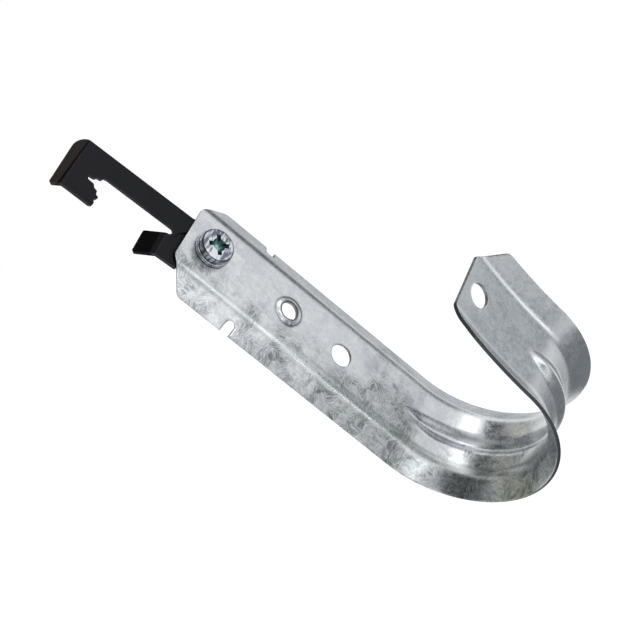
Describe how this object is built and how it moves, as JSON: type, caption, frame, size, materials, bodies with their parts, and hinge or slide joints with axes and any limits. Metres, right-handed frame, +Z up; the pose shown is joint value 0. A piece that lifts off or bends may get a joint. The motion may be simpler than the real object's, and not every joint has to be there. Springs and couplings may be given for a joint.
{
  "type": "j hook cable support",
  "caption": "Wide-based J hook of folded sheet steel that cradles cable bundles, with a toothed spring clip screwed behind its back plate to hang it from a flange or rod.",
  "frame": {"origin": "axis of the plain fixing hole in the back plate, at the middle of the sheet's thickness", "axes": "+Z up the back plate towards the clip, -Y from the plate towards the cables, +X across the strip, away from the side that the clip's jaw opens to"},
  "size_m": [0.0344, 0.0684, 0.157],
  "materials": {
    "galvanised_sheet": "hot-dip galvanised, satin, with feathery spangle",
    "black_spring_steel": "black phosphate and oil, semi-gloss",
    "zinc_plated_screw": "bright zinc plate with a bluish passivate",
    "zinc_plated_washer": "zinc plate",
    "zinc_plated_nut": "zinc plate"
  },
  "bodies": {
    "root": {"j_hook": "galvanised_sheet", "spring_clip": "black_spring_steel", "clip_screw": "zinc_plated_screw", "lock_washer": "zinc_plated_washer", "square_nut": "zinc_plated_nut"}
  },
  "joints": []
}
